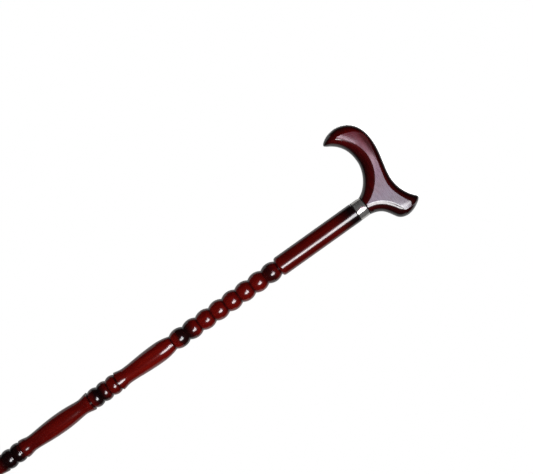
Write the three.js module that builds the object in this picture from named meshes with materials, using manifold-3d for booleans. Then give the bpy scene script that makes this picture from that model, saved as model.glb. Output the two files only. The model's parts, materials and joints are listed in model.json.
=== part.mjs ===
// Walking cane with a derby handle, a plated collar, a turned hardwood shaft and a rubber ferrule.
// Millimetres, +Z up. The origin is the middle of the ferrule's sole, on the shaft's axis.
// The handle's nose points to -X and its heel to +X. The cane is alike on both sides of Y = 0.

import * as THREE from 'three';
import { mergeVertices } from 'three/addons/utils/BufferGeometryUtils.js';
import Module from 'manifold-3d';

const wasm = await Module();
wasm.setup();

// Overall
const HANDLE_FOOT_HEIGHT = 862.5; // floor to the joint under the handle, which makes a 915 mm cane
const ROUND_SIDES = 24; // facets round every turned piece

// Fits between pieces
const GLUE_GAP = 0.15; // round each glued joint
const SLIDE_GAP = 0.1; // round the shaft's end in the ferrule
const END_GAP = 0.3; // past the end of a piece that stands in a hole

// Handle
const HANDLE_LENGTH = 121.3; // nose to heel
const HANDLE_RISE = 52.4; // foot to the point of the heel
const NECK_BLEND = 14.0; // height over which the round neck grows to the handle's thickness
const HANDLE_THICKNESS = 22.2; // across the two flat sides
const ROUND_STEPS = 6; // facets from the silhouette to each flat side

// Collar
const COLLAR_HEIGHT = 13.4;
const COLLAR_INSET = 0.25; // the collar lies this far inside the shaft's surface
const COLLAR_WALL = 1.0;
const COLLAR_CHAMFER = 0.35;

// Threaded stud between the handle and the shaft
const STUD_RADIUS = 4.0;
const STUD_IN_HANDLE = 26.0;
const STUD_IN_SHAFT = 30.0;
const STUD_CHAMFER = 1.0;

// Straight top of the shaft
const SHAFT_RADIUS = 11.1;
const STRAIGHT_LENGTH = 101.9;
const TOP_CHAMFER = 0.4;
const ROUNDING_HEIGHT = 3.2; // quarter round at the lower end of the straight
const ROUNDING_DEPTH = 2.3;

// Ball beads
const BEAD_COUNT = 8;
const BEAD_PITCH = 17.28;
const BEAD_RADIUS = 10.95;
const BEAD_PROFILE = 15.0; // radius of the arc that a bead is turned to
const BEAD_GROOVE_RADIUS = 8.25;

// Upper spindle, a pear with its belly at the top
const PEAR_LENGTH = 72.4;
const PEAR_BELLY_DROP = 19.4;
const PEAR_BELLY_RADIUS = 11.15;
const PEAR_SHOULDER_PROFILE = 60.0; // radius of the arc from the belly up to the groove
const PEAR_NECK_RISE = 11.6; // neck above the lower end
const PEAR_NECK_RADIUS = 9.15;
const PEAR_LIP_RADIUS = 10.9;

// Flat rings
const RING_PITCH = 11.7;
const RING_PROFILE = 9.4;
const RING_GROOVE_RADIUS = 8.95;
const UPPER_RING_COUNT = 3;
const UPPER_RING_RADIUS = 11.0;
const LOWER_RING_COUNT = 2;
const LOWER_RING_RADIUS = 10.8;

// Lower spindle, with a neck and a lip at both ends
const VASE_LENGTH = 90.4;
const VASE_LIP_RADIUS = 10.7;
const VASE_NECK_DROP = 12.6;
const VASE_NECK_RADIUS = 8.9;
const VASE_BELLY_DROP = 41.2;
const VASE_BELLY_RADIUS = 10.8;
const VASE_LOW_NECK_RISE = 12.7;
const VASE_LOW_NECK_RADIUS = 8.75;
const VASE_LOW_LIP_RADIUS = 10.45;

// Long leg under the last rings
const LEG_LIP_RADIUS = 10.25;
const LEG_NECK_DROP = 13.0;
const LEG_NECK_RADIUS = 8.8;
const LEG_BELLY_DROP = 62.0;
const LEG_BELLY_RADIUS = 10.1;
const LEG_TIP_RADIUS = 8.0;
const LEG_TIP_CHAMFER = 1.0;
const LEG_PARALLEL_SHOWN = 5.0; // parallel stretch that shows over the ferrule

// Details shared by the turned work
const LIP_DEPTH = 1.1; // from a groove to the edge of the lip beside it
const GROOVE_WIDTH = 1.3;
const QUARTER_PULL = 0.45; // how near its corner a quarter round's control points lie
const FLARE_PULL = 0.4; // share of a flare that runs along the axis before it opens
const FLARE_LEAN = 0.3; // and the share at its lip that is straight

// Ferrule and its washer
const FERRULE_HEIGHT = 42.0;
const FERRULE_SOLE_RADIUS = 18.0;
const FERRULE_SOLE_EDGE = 1.2;
const FERRULE_FOOT_HEIGHT = 7.0;
const FERRULE_FOOT_TAPER = 0.6;
const FERRULE_WAIST_HEIGHT = 19.0;
const FERRULE_WALL = 3.6;
const FERRULE_RIM = 0.9; // rim standing out round the mouth
const FERRULE_RIM_HEIGHT = 3.5;
const FERRULE_SOLE_THICKNESS = 9.0;
const TREAD_CENTRE_RADIUS = 4.0;
const TREAD_GROOVE_WIDTH = 1.8;
const TREAD_RIB_WIDTH = 2.2;
const TREAD_DEPTH = 1.6;
const TREAD_GROOVES = 3;
const WASHER_THICKNESS = 1.6;
const WASHER_EDGE_GAP = 0.4;

// Sizes that pieces share
const NECK_RADIUS = SHAFT_RADIUS; // the neck and the shaft are turned to one size
const COLLAR_RADIUS = SHAFT_RADIUS - COLLAR_INSET;
const TENON_RADIUS = COLLAR_RADIUS - COLLAR_WALL - GLUE_GAP;
const STUD_BORE_RADIUS = STUD_RADIUS + GLUE_GAP;
const DRILL_START = -1.0; // a drill starts below the face that it enters

// Colours
const LACQUERED_WOOD = { color: 0x5a0d10, roughness: 0.16, metalness: 0.0 };
const PLATED_BRASS = { color: 0xc9c9c6, roughness: 0.14, metalness: 1.0 };
const ZINC_STEEL = { color: 0x9a9da1, roughness: 0.42, metalness: 1.0 };
const BLACK_RUBBER = { color: 0x1b1b1c, roughness: 0.85, metalness: 0.0 };

// The handle's side view, from the left of the neck round the nose and the heel to its right.
// Each stretch is a cubic curve: two control points and an end for the silhouette, and the same
// for the border of the flat side. The last stretch ends at the neck. A point's x is in
// thousandths of the handle's length and its height over the foot in thousandths of its rise.
const HANDLE_STRETCHES = [
  { // underside, from the neck to the top of the finger hollow
    steps: 14,
    rim: [[-133.6, 219.5], [-258.9, 391.2], [-361.1, 389.3]],
    flat: [[-36.3, 324.4], [-176.4, 614.5], [-361.1, 618.3]],
  },
  { // underside, out to the nose
    steps: 10,
    rim: [[-469.1, 395.0], [-560.6, 307.3], [-621.6, 59.2]],
    flat: [[-449.3, 603.1], [-544.1, 542.0], [-622.4, 381.7]],
  },
  { // point of the nose
    steps: 4,
    rim: [[-636.4, 11.5], [-643.0, -15.3], [-665.3, 40.1]],
    flat: [[-626.5, 364.5], [-629.8, 374.0], [-628.2, 391.2]],
  },
  { // front of the nose
    steps: 6,
    rim: [[-699.1, 139.3], [-713.1, 253.8], [-713.1, 385.5]],
    flat: [[-626.5, 429.4], [-619.1, 486.6], [-612.5, 538.2]],
  },
  { // brow
    steps: 12,
    rim: [[-704.0, 730.9], [-587.8, 908.4], [-446.8, 900.8]],
    flat: [[-595.2, 664.1], [-552.3, 818.7], [-469.9, 807.3]],
  },
  { // back, down to the saddle
    steps: 12,
    rim: [[-310.0, 916.0], [-196.2, 776.7], [-63.5, 759.5]],
    flat: [[-354.5, 782.4], [-177.2, 646.9], [-74.2, 605.0]],
  },
  { // saddle, up to the heel
    steps: 10,
    rim: [[29.7, 761.5], [112.9, 832.1], [181.4, 982.8]],
    flat: [[4.1, 576.3], [110.5, 660.3], [192.9, 780.5]],
  },
  { // point of the heel
    steps: 4,
    rim: [[202.8, 1017.2], [211.0, 1001.9], [227.5, 967.6]],
    flat: [[202.8, 792.0], [225.9, 767.2], [237.4, 717.6]],
  },
  { // end of the heel
    steps: 7,
    rim: [[259.7, 872.1], [286.1, 746.2], [286.9, 622.1]],
    flat: [[248.1, 681.3], [253.9, 664.1], [250.6, 637.4]],
  },
  { // lower corner of the heel
    steps: 5,
    rim: [[286.1, 534.4], [270.4, 437.0], [234.1, 389.3]],
    flat: [[245.7, 606.9], [212.7, 616.4], [190.4, 599.2]],
  },
  { // throat, from the heel down to the neck
    steps: 12,
    rim: [[162.4, 290.1], [111.3, 246.2]],
    flat: [[84.1, 477.1], [10.7, 276.7]],
  },
];

// Solids

/** A mesh geometry with shared vertices, from loose or doubled triangles. */
function weld(geometry) {
  const bare = new THREE.BufferGeometry();
  bare.setAttribute('position', geometry.getAttribute('position'));
  bare.setIndex(geometry.getIndex());
  const merged = mergeVertices(bare, 1e-4);
  const corners = merged.getIndex().array;
  const kept = [];
  for (let i = 0; i < corners.length; i += 3) {
    const [a, b, c] = [corners[i], corners[i + 1], corners[i + 2]];
    if (a !== b && b !== c && c !== a) kept.push(a, b, c);
  }
  merged.setIndex(kept);
  return merged;
}

/** The welded geometry as a solid that can be cut. */
function toSolid(geometry) {
  const welded = weld(geometry);
  return new wasm.Manifold(new wasm.Mesh({
    numProp: 3,
    vertProperties: new Float32Array(welded.getAttribute('position').array),
    triVerts: new Uint32Array(welded.getIndex().array),
  }));
}

/** A solid back as a geometry. */
function toGeometry(solid) {
  const mesh = solid.getMesh();
  const geometry = new THREE.BufferGeometry();
  geometry.setAttribute('position', new THREE.BufferAttribute(new Float32Array(mesh.vertProperties), 3));
  geometry.setIndex(new THREE.BufferAttribute(new Uint32Array(mesh.triVerts), 1));
  geometry.computeVertexNormals();
  return geometry;
}

/** A closed turned solid about Z, from profile points of radius and height going up its outside. */
function turned(profile) {
  const geometry = new THREE.LatheGeometry(profile, ROUND_SIDES);
  geometry.rotateX(Math.PI / 2);
  const welded = weld(geometry);
  welded.computeVertexNormals();
  return welded;
}

/** A named piece with its own material. */
function piece(name, geometry, finish) {
  const mesh = new THREE.Mesh(geometry, new THREE.MeshStandardMaterial(finish));
  mesh.name = name;
  return mesh;
}

// Turned profiles, written from the top down

/** An outline of radius and height that is drawn downwards in lines, arcs and curves. */
class Profile {
  constructor(radius, height) {
    this.points = [new THREE.Vector2(radius, height)];
  }

  get last() {
    return this.points[this.points.length - 1];
  }

  line(radius, height) {
    this.points.push(new THREE.Vector2(radius, height));
    return this;
  }

  curve(c1, c2, end, steps) {
    const bezier = new THREE.CubicBezierCurve(
      this.last.clone(), new THREE.Vector2(...c1), new THREE.Vector2(...c2), new THREE.Vector2(...end),
    );
    this.points.push(...bezier.getPoints(steps).slice(1));
    return this;
  }

  /** An S between two radii whose ends run along the axis. Pulls are shares of the height. */
  ogee(radius, height, pullStart, pullEnd, steps) {
    const drop = this.last.y - height;
    const c1 = [this.last.x, this.last.y - pullStart * drop];
    const c2 = [radius, height + pullEnd * drop];
    return this.curve(c1, c2, [radius, height], steps);
  }

  /** A stretch of an arc whose crown stands at the given height, reached from above and left below. */
  arc(crown, height, arcRadius, above, below, steps) {
    const from = Math.asin(above / arcRadius);
    const to = -Math.asin(below / arcRadius);
    for (let i = 0; i <= steps; i++) {
      const angle = from + (to - from) * i / steps;
      this.line(crown - arcRadius * (1 - Math.cos(angle)), height + arcRadius * Math.sin(angle));
    }
    return this;
  }

  /** A crowned band with a groove at its lower end. */
  band(crown, arcRadius, groove, pitch, steps) {
    const top = this.last.y;
    const reach = (pitch - GROOVE_WIDTH) / 2;
    this.arc(crown, top - pitch / 2, arcRadius, reach, reach, steps);
    return this.line(groove, top - pitch);
  }

  /** A flare from a neck, which runs along the axis, out to the edge of a lip. */
  flare(radius, height, steps) {
    const drop = this.last.y - height;
    const c1 = [this.last.x, this.last.y - FLARE_PULL * drop];
    const c2 = [radius - FLARE_LEAN * (radius - this.last.x), height + FLARE_LEAN * drop];
    return this.curve(c1, c2, [radius, height], steps);
  }
}

/** Height of each division of the shaft, from the joint under the handle down. */
function shaftLevels() {
  const shoulder = HANDLE_FOOT_HEIGHT - COLLAR_HEIGHT;
  const beads = shoulder - STRAIGHT_LENGTH;
  const pear = beads - BEAD_COUNT * BEAD_PITCH;
  const upperRings = pear - PEAR_LENGTH;
  const vase = upperRings - UPPER_RING_COUNT * RING_PITCH;
  const lowerRings = vase - VASE_LENGTH;
  const leg = lowerRings - LOWER_RING_COUNT * RING_PITCH;
  const tip = FERRULE_SOLE_THICKNESS + WASHER_THICKNESS + END_GAP;
  return { shoulder, beads, pear, upperRings, vase, lowerRings, leg, tip };
}

const LEVEL = shaftLevels();

/** Straight top with its tenon, its crisp upper edge and its rounded lower end. */
function drawStraight(profile) {
  profile.line(TENON_RADIUS, LEVEL.shoulder);
  profile.line(SHAFT_RADIUS - TOP_CHAMFER, LEVEL.shoulder);
  profile.line(SHAFT_RADIUS, LEVEL.shoulder - TOP_CHAMFER);
  const edge = LEVEL.beads + GROOVE_WIDTH / 2;
  profile.line(SHAFT_RADIUS, edge + ROUNDING_HEIGHT);
  const c1 = [SHAFT_RADIUS, edge + QUARTER_PULL * ROUNDING_HEIGHT];
  const c2 = [SHAFT_RADIUS - QUARTER_PULL * ROUNDING_DEPTH, edge];
  profile.curve(c1, c2, [SHAFT_RADIUS - ROUNDING_DEPTH, edge], 4);
  profile.line(BEAD_GROOVE_RADIUS, LEVEL.beads);
}

/** Row of ball beads. */
function drawBeads(profile) {
  for (let i = 0; i < BEAD_COUNT; i++) {
    profile.band(BEAD_RADIUS, BEAD_PROFILE, BEAD_GROOVE_RADIUS, BEAD_PITCH, 6);
  }
}

/** Pear spindle: a full shoulder, a long fall to its neck, and a flared lip. */
function drawPear(profile) {
  const foot = LEVEL.upperRings;
  const shoulderTop = LEVEL.pear - GROOVE_WIDTH / 2;
  const belly = LEVEL.pear - PEAR_BELLY_DROP;
  const neck = foot + PEAR_NECK_RISE;
  const lip = foot + LIP_DEPTH;
  profile.arc(PEAR_BELLY_RADIUS, belly, PEAR_SHOULDER_PROFILE, shoulderTop - belly, 0, 5);
  profile.ogee(PEAR_NECK_RADIUS, neck, 0.48, 0.26, 7);
  profile.flare(PEAR_LIP_RADIUS, lip, 4);
  profile.line(RING_GROOVE_RADIUS, foot);
}

/** Vase spindle: a lip and a neck at both ends, with its belly between them. */
function drawVase(profile) {
  const lip = LEVEL.vase - LIP_DEPTH;
  const foot = LEVEL.lowerRings;
  profile.line(VASE_LIP_RADIUS, lip);
  profile.ogee(VASE_NECK_RADIUS, LEVEL.vase - VASE_NECK_DROP, 0.3, 0.42, 5);
  profile.ogee(VASE_BELLY_RADIUS, LEVEL.vase - VASE_BELLY_DROP, 0.18, 0.56, 7);
  profile.ogee(VASE_LOW_NECK_RADIUS, foot + VASE_LOW_NECK_RISE, 0.47, 0.2, 7);
  profile.ogee(VASE_LOW_LIP_RADIUS, foot + LIP_DEPTH, 0.4, 0.42, 4);
  profile.line(RING_GROOVE_RADIUS, foot);
}

/** Row of flat rings. */
function drawRings(profile, count, radius) {
  for (let i = 0; i < count; i++) {
    profile.band(radius, RING_PROFILE, RING_GROOVE_RADIUS, RING_PITCH, 4);
  }
}

/** Long leg: a lip, a neck, a slim belly and a taper to the parallel end. */
function drawLeg(profile) {
  const parallelTop = FERRULE_HEIGHT + LEG_PARALLEL_SHOWN;
  profile.line(LEG_LIP_RADIUS, LEVEL.leg - LIP_DEPTH);
  profile.ogee(LEG_NECK_RADIUS, LEVEL.leg - LEG_NECK_DROP, 0.3, 0.42, 5);
  profile.ogee(LEG_BELLY_RADIUS, LEVEL.leg - LEG_BELLY_DROP, 0.18, 0.56, 6);
  profile.ogee(LEG_TIP_RADIUS, parallelTop, 0.4, 0.1, 8);
  profile.line(LEG_TIP_RADIUS, LEVEL.tip + LEG_TIP_CHAMFER);
  profile.line(LEG_TIP_RADIUS - LEG_TIP_CHAMFER, LEVEL.tip);
  profile.line(0, LEVEL.tip);
}

/** One-piece turned shaft with the bore for the stud in its tenon. */
function makeShaft() {
  const boreFloor = HANDLE_FOOT_HEIGHT - STUD_IN_SHAFT - END_GAP;
  const profile = new Profile(0, boreFloor);
  profile.line(STUD_BORE_RADIUS, boreFloor);
  profile.line(STUD_BORE_RADIUS, HANDLE_FOOT_HEIGHT);
  profile.line(TENON_RADIUS, HANDLE_FOOT_HEIGHT);
  drawStraight(profile);
  drawBeads(profile);
  drawPear(profile);
  drawRings(profile, UPPER_RING_COUNT, UPPER_RING_RADIUS);
  drawVase(profile);
  drawRings(profile, LOWER_RING_COUNT, LOWER_RING_RADIUS);
  drawLeg(profile);
  return piece('shaft', turned(profile.points.reverse()), LACQUERED_WOOD);
}

/** Plated collar tube over the tenon, with its outer edges eased. */
function makeCollar() {
  const inner = COLLAR_RADIUS - COLLAR_WALL;
  const section = [
    [inner, 0], [COLLAR_RADIUS - COLLAR_CHAMFER, 0], [COLLAR_RADIUS, COLLAR_CHAMFER],
    [COLLAR_RADIUS, COLLAR_HEIGHT - COLLAR_CHAMFER], [COLLAR_RADIUS - COLLAR_CHAMFER, COLLAR_HEIGHT],
    [inner, COLLAR_HEIGHT], [inner, 0],
  ];
  const mesh = piece('collar', turned(section.map((p) => new THREE.Vector2(...p))), PLATED_BRASS);
  mesh.position.z = LEVEL.shoulder;
  return mesh;
}

/** Threaded stud that holds the handle on the shaft, drawn at the outside of its thread. */
function makeStud() {
  const tip = STUD_RADIUS - STUD_CHAMFER;
  const section = [
    [0, -STUD_IN_SHAFT], [tip, -STUD_IN_SHAFT], [STUD_RADIUS, STUD_CHAMFER - STUD_IN_SHAFT],
    [STUD_RADIUS, STUD_IN_HANDLE - STUD_CHAMFER], [tip, STUD_IN_HANDLE], [0, STUD_IN_HANDLE],
  ];
  const mesh = piece('handle_stud', turned(section.map((p) => new THREE.Vector2(...p))), ZINC_STEEL);
  mesh.position.z = HANDLE_FOOT_HEIGHT;
  return mesh;
}

// Handle

/** A point of the outline table in millimetres. */
function outlinePoint([x, height]) {
  return new THREE.Vector2(x / 1000 * HANDLE_LENGTH, height / 1000 * HANDLE_RISE);
}

/** Points along one chain of the outline's curves, from the left of the neck to its right. */
function chain(neckHalfWidth, key) {
  const points = [new THREE.Vector2(-neckHalfWidth, 0)];
  const neckEnd = new THREE.Vector2(neckHalfWidth, 0);
  for (const stretch of HANDLE_STRETCHES) {
    const [c1, c2, end = neckEnd] = stretch[key].map(outlinePoint);
    const curve = new THREE.CubicBezierCurve(points[points.length - 1].clone(), c1, c2, end);
    points.push(...curve.getPoints(stretch.steps).slice(1));
  }
  return points;
}

/**
 * Handle skin. Each rib runs from one flat side round the silhouette to the other flat side in half
 * an ellipse, which at the neck is half the turned circle.
 */
function handleSkin() {
  const rim = chain(NECK_RADIUS, 'rim');
  const flat = chain(0, 'flat');
  const across = 2 * ROUND_STEPS + 1;
  const positions = [];
  for (let i = 0; i < rim.length; i++) {
    const grown = THREE.MathUtils.smoothstep(flat[i].y, 0, NECK_BLEND);
    const half = THREE.MathUtils.lerp(NECK_RADIUS, HANDLE_THICKNESS / 2, grown);
    for (let j = -ROUND_STEPS; j <= ROUND_STEPS; j++) {
      const angle = Math.PI / 2 * j / ROUND_STEPS;
      const point = rim[i].clone().lerp(flat[i], 1 - Math.cos(angle));
      positions.push(point.x, -half * Math.sin(angle), point.y);
    }
  }
  const index = [];
  const at = (i, j) => i * across + j;
  for (let i = 0; i + 1 < rim.length; i++) {
    for (let j = 0; j + 1 < across; j++) {
      index.push(at(i, j), at(i, j + 1), at(i + 1, j + 1));
      index.push(at(i, j), at(i + 1, j + 1), at(i + 1, j));
    }
  }
  for (const corners of THREE.ShapeUtils.triangulateShape(flat.slice(0, -1), [])) {
    const [a, b, c] = THREE.ShapeUtils.isClockWise(corners.map((k) => flat[k])) ? corners.reverse() : corners;
    index.push(at(a, across - 1), at(b, across - 1), at(c, across - 1));
    index.push(at(a, 0), at(c, 0), at(b, 0));
  }
  const end = rim.length - 1;
  const foot = [];
  for (let j = 0; j < across; j++) foot.push(at(0, j));
  for (let j = across - 1; j >= 0; j--) foot.push(at(end, j));
  for (let k = 1; k + 1 < foot.length; k++) index.push(foot[0], foot[k + 1], foot[k]);
  const geometry = new THREE.BufferGeometry();
  geometry.setAttribute('position', new THREE.Float32BufferAttribute(positions, 3));
  geometry.setIndex(index);
  return geometry;
}

/** Derby handle with the bore for the stud in its foot. */
function makeHandle() {
  const floor = STUD_IN_HANDLE + END_GAP;
  const drill = [[0, DRILL_START], [STUD_BORE_RADIUS, DRILL_START], [STUD_BORE_RADIUS, floor], [0, floor]];
  const bore = toSolid(turned(drill.map((p) => new THREE.Vector2(...p))));
  const mesh = piece('handle', toGeometry(toSolid(handleSkin()).subtract(bore)), LACQUERED_WOOD);
  mesh.position.z = HANDLE_FOOT_HEIGHT;
  return mesh;
}

// Tip

/** Rubber ferrule: a treaded sole, a flared foot, and a sleeve with a rim round its mouth. */
function makeFerrule() {
  const socket = LEG_TIP_RADIUS + SLIDE_GAP;
  const sleeve = socket + FERRULE_WALL;
  const section = new Profile(0, 0);
  let radius = TREAD_CENTRE_RADIUS;
  for (let i = 0; i < TREAD_GROOVES; i++) {
    section.line(radius, 0);
    section.line(radius, TREAD_DEPTH);
    section.line(radius + TREAD_GROOVE_WIDTH, TREAD_DEPTH);
    section.line(radius + TREAD_GROOVE_WIDTH, 0);
    radius += TREAD_GROOVE_WIDTH + TREAD_RIB_WIDTH;
  }
  section.line(FERRULE_SOLE_RADIUS - FERRULE_SOLE_EDGE, 0);
  section.line(FERRULE_SOLE_RADIUS, FERRULE_SOLE_EDGE);
  section.line(FERRULE_SOLE_RADIUS - FERRULE_FOOT_TAPER, FERRULE_FOOT_HEIGHT);
  section.ogee(sleeve, FERRULE_WAIST_HEIGHT, 0.15, 0.5, 5);
  section.line(sleeve, FERRULE_HEIGHT - FERRULE_RIM_HEIGHT);
  section.line(sleeve + FERRULE_RIM, FERRULE_HEIGHT - FERRULE_RIM_HEIGHT + FERRULE_RIM);
  section.line(sleeve + FERRULE_RIM, FERRULE_HEIGHT - FERRULE_RIM);
  section.line(sleeve, FERRULE_HEIGHT);
  section.line(socket, FERRULE_HEIGHT);
  section.line(socket, FERRULE_SOLE_THICKNESS);
  section.line(0, FERRULE_SOLE_THICKNESS);
  return piece('ferrule', turned(section.points), BLACK_RUBBER);
}

/** Steel washer on the socket's floor, which keeps the wood from punching through the sole. */
function makeWasher() {
  const radius = LEG_TIP_RADIUS - WASHER_EDGE_GAP;
  const section = [[0, 0], [radius, 0], [radius, WASHER_THICKNESS], [0, WASHER_THICKNESS]];
  const mesh = piece('ferrule_washer', turned(section.map((p) => new THREE.Vector2(...p))), ZINC_STEEL);
  mesh.position.z = FERRULE_SOLE_THICKNESS;
  return mesh;
}

const stick = new THREE.Group();
stick.add(makeShaft(), makeCollar(), makeStud(), makeHandle());

const tip = new THREE.Group();
tip.add(makeFerrule(), makeWasher());

const cane = new THREE.Group();
cane.add(stick, tip);

export default cane;
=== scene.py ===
"""Looks of a walking cane: lacquered derby handle and turned shaft, plated collar, rubber ferrule.

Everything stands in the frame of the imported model, in metres. +Z runs up the shaft, the handle's nose
points to -X, and the origin is the middle of the ferrule's sole. Sizes in the classes are millimetres.
"""

import json
import logging
import math
from dataclasses import dataclass
from enum import Enum
from typing import Any, Sequence

import bmesh
import bpy
from bmesh.types import BMEdge, BMesh, BMVert
from bpy.types import ID, Light, Material, Node, NodeSocket, NodeTree, Object
from mathutils import Matrix, Vector
from mathutils.geometry import interpolate_bezier

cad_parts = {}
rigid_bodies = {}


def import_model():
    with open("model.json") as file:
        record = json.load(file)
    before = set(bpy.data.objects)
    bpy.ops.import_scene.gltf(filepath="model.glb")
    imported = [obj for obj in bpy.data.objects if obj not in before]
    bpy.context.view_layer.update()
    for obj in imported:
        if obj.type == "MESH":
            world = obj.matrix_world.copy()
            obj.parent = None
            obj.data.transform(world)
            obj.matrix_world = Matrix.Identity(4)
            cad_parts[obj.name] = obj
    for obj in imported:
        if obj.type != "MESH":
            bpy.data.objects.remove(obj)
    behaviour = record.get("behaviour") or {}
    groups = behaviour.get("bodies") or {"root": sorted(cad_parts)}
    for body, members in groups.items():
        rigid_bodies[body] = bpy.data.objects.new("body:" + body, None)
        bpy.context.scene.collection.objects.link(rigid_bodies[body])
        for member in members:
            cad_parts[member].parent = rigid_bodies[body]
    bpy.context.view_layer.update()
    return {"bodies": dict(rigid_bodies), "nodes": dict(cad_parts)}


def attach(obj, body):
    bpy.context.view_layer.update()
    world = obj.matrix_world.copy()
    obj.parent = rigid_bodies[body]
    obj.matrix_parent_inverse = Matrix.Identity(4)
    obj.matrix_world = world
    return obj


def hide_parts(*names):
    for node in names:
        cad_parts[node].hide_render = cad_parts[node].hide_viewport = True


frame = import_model()

log = logging.getLogger("cane")

MM = 0.001
MERGE = 1e-6
# Millimetres by which a radius may fall short
SLACK = 0.1
WHITE = (1.0, 1.0, 1.0, 1.0)
# Near-black for the airbrushed stain, and for painted shade in grooves and on upward faces
BLACK_STAIN_AND_SHADE = "070304"

Pair = tuple[float, float]
Triple = tuple[float, float, float]
Colour = tuple[float, float, float, float]


class Grain(Enum):
    """Direction that the wood's grain runs in, as the turn that lays it along Z."""

    UP_THE_SHAFT = (0.0, 0.0, 0.0)
    ALONG_THE_HANDLE = (0.0, math.radians(90.0), 0.0)


# Nodes and colours


def linear(colour: str) -> Colour:
    """Turns an sRGB colour into the linear light that Blender's sockets take.

    Args:
        colour: six hex digits.

    Returns:
        Linear red, green and blue, and an alpha of 1.
    """
    parts = [int(colour[i : i + 2], 16) / 255.0 for i in (0, 2, 4)]
    light = [p / 12.92 if p <= 0.04045 else ((p + 0.055) / 1.055) ** 2.4 for p in parts]
    return light[0], light[1], light[2], 1.0


def add(
    tree: NodeTree,
    kind: str,
    settings: dict[str, Any] | None = None,
    inputs: dict[Any, Any] | None = None,
    stops: Sequence[tuple[float, Colour]] = (),
) -> Node:
    """Adds a shader node with its settings, values and links.

    Args:
        tree: node tree that gets the node.
        kind: node type, without the words ShaderNode.
        settings: attributes of the node, such as its operation.
        inputs: sockets by name or number, each with a value or with the output that feeds it.
        stops: places and colours of a colour ramp, in rising order.

    Returns:
        The new node.
    """
    node = tree.nodes.new("ShaderNode" + kind)
    for name, value in (settings or {}).items():
        setattr(node, name, value)
    for key, value in (inputs or {}).items():
        if isinstance(value, NodeSocket):
            tree.links.new(value, node.inputs[key])
        else:
            node.inputs[key].default_value = value
    for i, (place, colour) in enumerate(stops):
        ramp = node.color_ramp.elements
        stop = ramp[i] if i < 2 else ramp.new(place)
        stop.position, stop.color = place, colour
    return node


def emptied(owner: Any) -> NodeTree:
    """Turns on the nodes of a material, lamp or world, and clears them.

    Args:
        owner: the material, lamp or world.

    Returns:
        Its empty node tree.
    """
    owner.use_nodes = True
    owner.node_tree.nodes.clear()
    return owner.node_tree


def reckon(tree: NodeTree, operation: str, *values: Any, clamp: bool = False) -> NodeSocket:
    """Works out one sum on outputs and numbers, held between 0 and 1 if it is clamped."""
    settings = {"operation": operation, "use_clamp": clamp}
    return add(tree, "Math", settings, dict(enumerate(values))).outputs[0]


def mapped(
    tree: NodeTree, value: NodeSocket, start: float, end: float, low: float = 0.0, high: float = 1.0,
    smooth: bool = False,
) -> NodeSocket:
    """Maps start to end onto low to high and holds the value at both, which are eased if it is smooth."""
    inputs = {"Value": value, "From Min": start, "From Max": end, "To Min": low, "To Max": high}
    return add(tree, "MapRange", {"interpolation_type": "SMOOTHSTEP"} if smooth else {}, inputs).outputs[0]


def ramp_over(tree: NodeTree, value: NodeSocket, *stops: tuple[float, str | float]) -> NodeSocket:
    """Lays colours or grey levels over a value. The stops stand in rising order."""
    coloured = [(place, linear(c) if isinstance(c, str) else (c, c, c, 1.0)) for place, c in stops]
    return add(tree, "ValToRGB", inputs={"Fac": value}, stops=coloured).outputs[0]


def blend(tree: NodeTree, share: Any, first: Any, second: Any, mode: str = "MIX") -> NodeSocket:
    """Mixes two colours, the second with the given share."""
    settings = {"data_type": "RGBA", "blend_type": mode}
    return add(tree, "Mix", settings, {0: share, 6: first, 7: second}).outputs[2]


def between(tree: NodeTree, share: Any, first: Any, second: Any) -> NodeSocket:
    """Mixes two numbers, the second with the given share."""
    return add(tree, "Mix", {"data_type": "FLOAT"}, {0: share, 2: first, 3: second}).outputs[0]


def axes(tree: NodeTree, vector: NodeSocket | None = None) -> Any:
    """Parts a vector, or the place on the object, into its outputs X, Y and Z."""
    return add(tree, "SeparateXYZ", inputs={0: vector or add(tree, "TexCoord").outputs["Object"]}).outputs


def millimetres(tree: NodeTree, size: Triple, turn: Triple = (0.0, 0.0, 0.0)) -> NodeSocket:
    """Object coordinates in which one unit is a pattern's real size.

    Args:
        tree: the node tree.
        size: the pattern's size along X, Y and Z after the turn.
        turn: rotation of the pattern, in radians.

    Returns:
        The vector output to feed to a texture.
    """
    place = add(tree, "TexCoord").outputs["Object"]
    turned = add(tree, "Mapping", inputs={"Vector": place, "Rotation": turn})
    scale = [1.0 / (s * MM) for s in size]
    return add(tree, "Mapping", inputs={"Vector": turned.outputs[0], "Scale": scale}).outputs[0]


def noise(
    tree: NodeTree, size: Triple, detail: float, turn: Triple = (0.0, 0.0, 0.0), swirl: float = 0.0
) -> NodeSocket:
    """Noise, 0 to 1, whose lumps have this real size, with octaves of finer detail in them."""
    inputs = {"Vector": millimetres(tree, size, turn), "Scale": 1.0, "Detail": detail, "Distortion": swirl}
    return add(tree, "TexNoise", inputs=inputs).outputs["Fac"]


def bumped(
    tree: NodeTree, height: NodeSocket, strength: float, depth: float, under: NodeSocket | None = None
) -> NodeSocket:
    """Normal of a fine relief in the shading, which may lie on the normal of another."""
    inputs = {"Height": height, "Strength": strength, "Distance": depth * MM}
    return add(tree, "Bump", inputs=inputs | ({"Normal": under} if under else {})).outputs[0]


def seen_by(tree: NodeTree) -> tuple[NodeSocket, NodeSocket]:
    """Tells rays that look at a background from those that only light.

    Args:
        tree: the node tree.

    Returns:
        Two outputs, each 0 or 1: rays from the camera, and rays mirrored or passed on by a surface.
    """
    path = add(tree, "LightPath").outputs
    mirrored = reckon(tree, "ADD", path["Is Glossy Ray"], path["Is Transmission Ray"], clamp=True)
    return path["Is Camera Ray"], mirrored


# Finishes


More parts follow.
